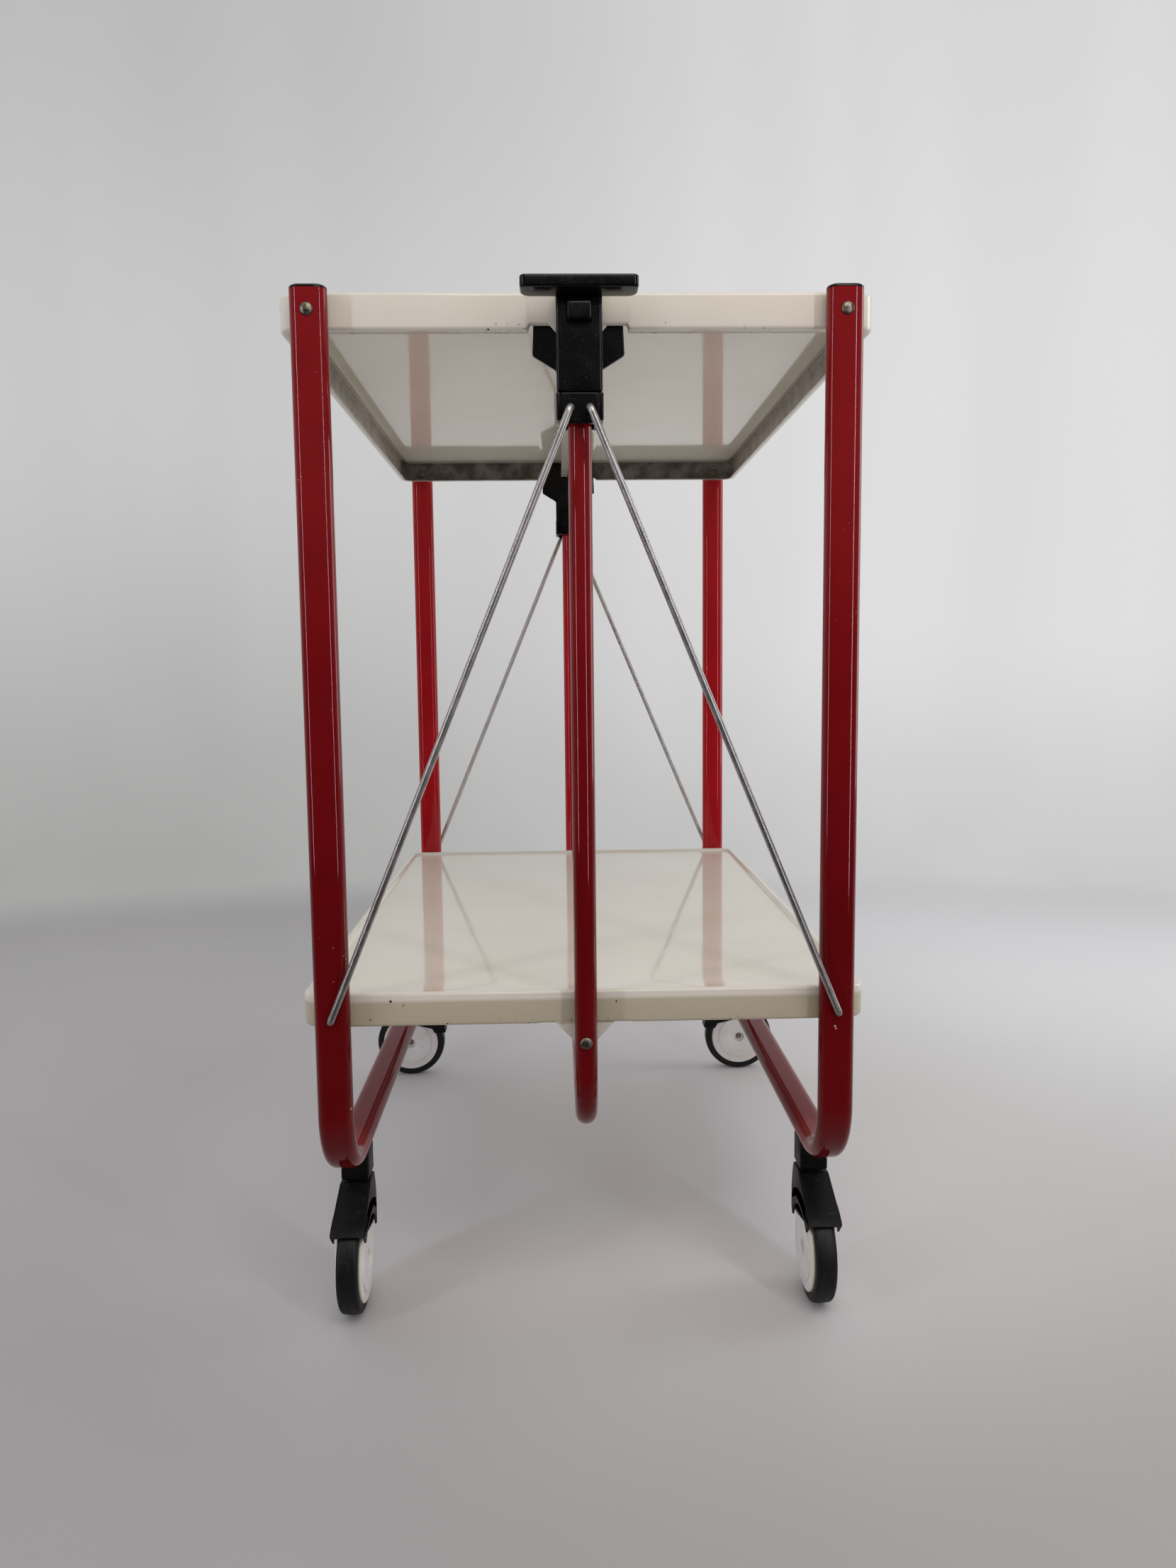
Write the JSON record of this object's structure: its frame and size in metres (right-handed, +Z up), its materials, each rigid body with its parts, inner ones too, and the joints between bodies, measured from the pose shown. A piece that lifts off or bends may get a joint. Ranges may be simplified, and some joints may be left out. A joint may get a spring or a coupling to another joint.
{
  "type": "folding serving trolley",
  "caption": "Folding serving table on swivel casters: two split trays hinged between tube frames, with stay wires, sliding locks and lifting handles.",
  "frame": {"origin": "on the floor, under the middle of the open table", "axes": "+Z up, Y along the trays between the two handles, X across them from the left to the right frame"},
  "size_m": [0.478, 0.703, 0.7407],
  "materials": {
    "red_enamel": "gloss enamel",
    "cream_enamel": "gloss enamel",
    "black_plastic": "satin",
    "zinc_plated_steel": "satin",
    "black_rubber": "matt",
    "ivory_plastic": "satin"
  },
  "bodies": {
    "left_frame": {"left_side_frame": "red_enamel", "left_front_leg_cap": "black_plastic", "left_front_pivot_rivet": "zinc_plated_steel", "left_front_caster_socket": "black_plastic", "left_back_leg_cap": "black_plastic", "left_back_pivot_rivet": "zinc_plated_steel", "left_back_caster_socket": "black_plastic"},
    "upper_left_tray": {"upper_tray_left_half": "cream_enamel"},
    "lower_left_tray": {"lower_tray_left_half": "cream_enamel"},
    "left_front_wire": {"left_front_stay_wire": "zinc_plated_steel"},
    "left_front_swivel": {"left_front_caster_hood": "black_plastic", "left_front_caster_stem": "zinc_plated_steel"},
    "left_front_wheel": {"left_front_caster_left_disc": "ivory_plastic", "left_front_caster_left_tyre": "black_rubber", "left_front_caster_right_disc": "ivory_plastic", "left_front_caster_right_tyre": "black_rubber"},
    "left_back_wire": {"left_back_stay_wire": "zinc_plated_steel"},
    "left_back_swivel": {"left_back_caster_hood": "black_plastic", "left_back_caster_stem": "zinc_plated_steel"},
    "left_back_wheel": {"left_back_caster_left_disc": "ivory_plastic", "left_back_caster_left_tyre": "black_rubber", "left_back_caster_right_disc": "ivory_plastic", "left_back_caster_right_tyre": "black_rubber"},
    "right_frame": {"right_side_frame": "red_enamel", "right_front_leg_cap": "black_plastic", "right_front_pivot_rivet": "zinc_plated_steel", "right_front_caster_socket": "black_plastic", "right_back_leg_cap": "black_plastic", "right_back_pivot_rivet": "zinc_plated_steel", "right_back_caster_socket": "black_plastic"},
    "upper_right_tray": {"upper_tray_right_half": "cream_enamel"},
    "lower_right_tray": {"lower_tray_right_half": "cream_enamel"},
    "right_front_wire": {"right_front_stay_wire": "zinc_plated_steel"},
    "right_front_swivel": {"right_front_caster_hood": "black_plastic", "right_front_caster_stem": "zinc_plated_steel"},
    "right_front_wheel": {"right_front_caster_left_disc": "ivory_plastic", "right_front_caster_left_tyre": "black_rubber", "right_front_caster_right_disc": "ivory_plastic", "right_front_caster_right_tyre": "black_rubber"},
    "right_back_wire": {"right_back_stay_wire": "zinc_plated_steel"},
    "right_back_swivel": {"right_back_caster_hood": "black_plastic", "right_back_caster_stem": "zinc_plated_steel"},
    "right_back_wheel": {"right_back_caster_left_disc": "ivory_plastic", "right_back_caster_left_tyre": "black_rubber", "right_back_caster_right_disc": "ivory_plastic", "right_back_caster_right_tyre": "black_rubber"},
    "centre_post": {"centre_frame": "red_enamel", "upper_front_centre_pin": "zinc_plated_steel", "upper_back_centre_pin": "zinc_plated_steel", "lower_front_centre_pin": "zinc_plated_steel", "lower_back_centre_pin": "zinc_plated_steel", "front_latch_housing": "black_plastic", "front_handle_bar": "black_plastic", "back_latch_housing": "black_plastic", "back_handle_bar": "black_plastic"},
    "front_slider": {"front_slider_shoe": "black_plastic"},
    "front_trigger_key": {"front_trigger": "black_plastic"},
    "back_slider": {"back_slider_shoe": "black_plastic"},
    "back_trigger_key": {"back_trigger": "black_plastic"}
  },
  "joints": [
    {"name": "fold", "type": "hinge", "parent": "left_frame", "child": "upper_left_tray", "pos_m": [-0.178, 0, 0.724], "axis": [0, -1, 0], "range_deg": [0, 75]},
    {"name": "upper_left_seam", "type": "hinge", "parent": "upper_left_tray", "child": "centre_post", "pos_m": [0, 0, 0.706], "axis": [0, 1, 0], "range_deg": [0, 75]},
    {"name": "upper_right_seam", "type": "hinge", "parent": "centre_post", "child": "upper_right_tray", "pos_m": [0, 0, 0.706], "axis": [0, 1, 0], "range_deg": [0, 75]},
    {"name": "right_frame_pivot", "type": "hinge", "parent": "upper_right_tray", "child": "right_frame", "pos_m": [0.178, 0, 0.724], "axis": [0, -1, 0], "range_deg": [0, 75]},
    {"name": "lower_left_pivot", "type": "hinge", "parent": "left_frame", "child": "lower_left_tray", "pos_m": [-0.178, 0, 0.245], "axis": [0, -1, 0], "range_deg": [0, 75]},
    {"name": "lower_right_pivot", "type": "hinge", "parent": "right_frame", "child": "lower_right_tray", "pos_m": [0.178, 0, 0.245], "axis": [0, 1, 0], "range_deg": [0, 75]},
    {"name": "left_front_wire_pivot", "type": "hinge", "parent": "left_frame", "child": "left_front_wire", "pos_m": [-0.178, -0.3275, 0.245], "axis": [0, -1, 0], "range_deg": [0, 15.3]},
    {"name": "right_front_wire_pivot", "type": "hinge", "parent": "right_frame", "child": "right_front_wire", "pos_m": [0.178, -0.3275, 0.245], "axis": [0, 1, 0], "range_deg": [0, 15.3]},
    {"name": "front_shoe_slide", "type": "slide", "parent": "centre_post", "child": "front_slider", "axis": [0, 0, -1], "range_m": [0, 0.155]},
    {"name": "front_trigger_pull", "type": "slide", "parent": "centre_post", "child": "front_trigger_key", "axis": [0, 1, 0], "range_m": [0, 0.005], "stiffness_N_per_m": 500, "springref_m": -0.001},
    {"name": "left_back_wire_pivot", "type": "hinge", "parent": "left_frame", "child": "left_back_wire", "pos_m": [-0.178, 0.3275, 0.245], "axis": [0, -1, 0], "range_deg": [0, 15.3]},
    {"name": "right_back_wire_pivot", "type": "hinge", "parent": "right_frame", "child": "right_back_wire", "pos_m": [0.178, 0.3275, 0.245], "axis": [0, 1, 0], "range_deg": [0, 15.3]},
    {"name": "back_shoe_slide", "type": "slide", "parent": "centre_post", "child": "back_slider", "axis": [0, 0, -1], "range_m": [0, 0.155]},
    {"name": "back_trigger_pull", "type": "slide", "parent": "centre_post", "child": "back_trigger_key", "axis": [0, -1, 0], "range_m": [0, 0.005], "stiffness_N_per_m": 500, "springref_m": -0.001},
    {"name": "left_front_swivel_turn", "type": "hinge", "parent": "left_frame", "child": "left_front_swivel", "pos_m": [-0.178, -0.245, 0.1], "axis": [0, 0, 1], "continuous": true},
    {"name": "left_front_wheel_spin", "type": "hinge", "parent": "left_front_swivel", "child": "left_front_wheel", "pos_m": [-0.178, -0.266, 0.04], "axis": [1, 0, 0], "continuous": true},
    {"name": "left_back_swivel_turn", "type": "hinge", "parent": "left_frame", "child": "left_back_swivel", "pos_m": [-0.178, 0.245, 0.1], "axis": [0, 0, 1], "continuous": true},
    {"name": "left_back_wheel_spin", "type": "hinge", "parent": "left_back_swivel", "child": "left_back_wheel", "pos_m": [-0.199, 0.245, 0.04], "axis": [0, 1, 0], "continuous": true},
    {"name": "right_front_swivel_turn", "type": "hinge", "parent": "right_frame", "child": "right_front_swivel", "pos_m": [0.178, -0.245, 0.1], "axis": [0, 0, 1], "continuous": true},
    {"name": "right_front_wheel_spin", "type": "hinge", "parent": "right_front_swivel", "child": "right_front_wheel", "pos_m": [0.178, -0.266, 0.04], "axis": [1, 0, 0], "continuous": true},
    {"name": "right_back_swivel_turn", "type": "hinge", "parent": "right_frame", "child": "right_back_swivel", "pos_m": [0.178, 0.245, 0.1], "axis": [0, 0, 1], "continuous": true},
    {"name": "right_back_wheel_spin", "type": "hinge", "parent": "right_back_swivel", "child": "right_back_wheel", "pos_m": [0.199, 0.245, 0.04], "axis": [0, 1, 0], "continuous": true}
  ],
  "couplings": [
    {"joint": "upper_left_seam", "follows": "fold", "ratio": 1},
    {"joint": "upper_right_seam", "follows": "fold", "ratio": 1},
    {"joint": "right_frame_pivot", "follows": "fold", "ratio": 1},
    {"joint": "lower_left_pivot", "follows": "fold", "ratio": 1},
    {"joint": "lower_right_pivot", "follows": "fold", "ratio": 1},
    {"joint": "left_front_wire_pivot", "follows": "fold", "ratio": 0.2031},
    {"joint": "right_front_wire_pivot", "follows": "fold", "ratio": 0.2031},
    {"joint": "front_shoe_slide", "follows": "fold", "m_per_rad": 0.11816},
    {"joint": "left_back_wire_pivot", "follows": "fold", "ratio": 0.2031},
    {"joint": "right_back_wire_pivot", "follows": "fold", "ratio": 0.2031},
    {"joint": "back_shoe_slide", "follows": "fold", "m_per_rad": 0.11816}
  ]
}
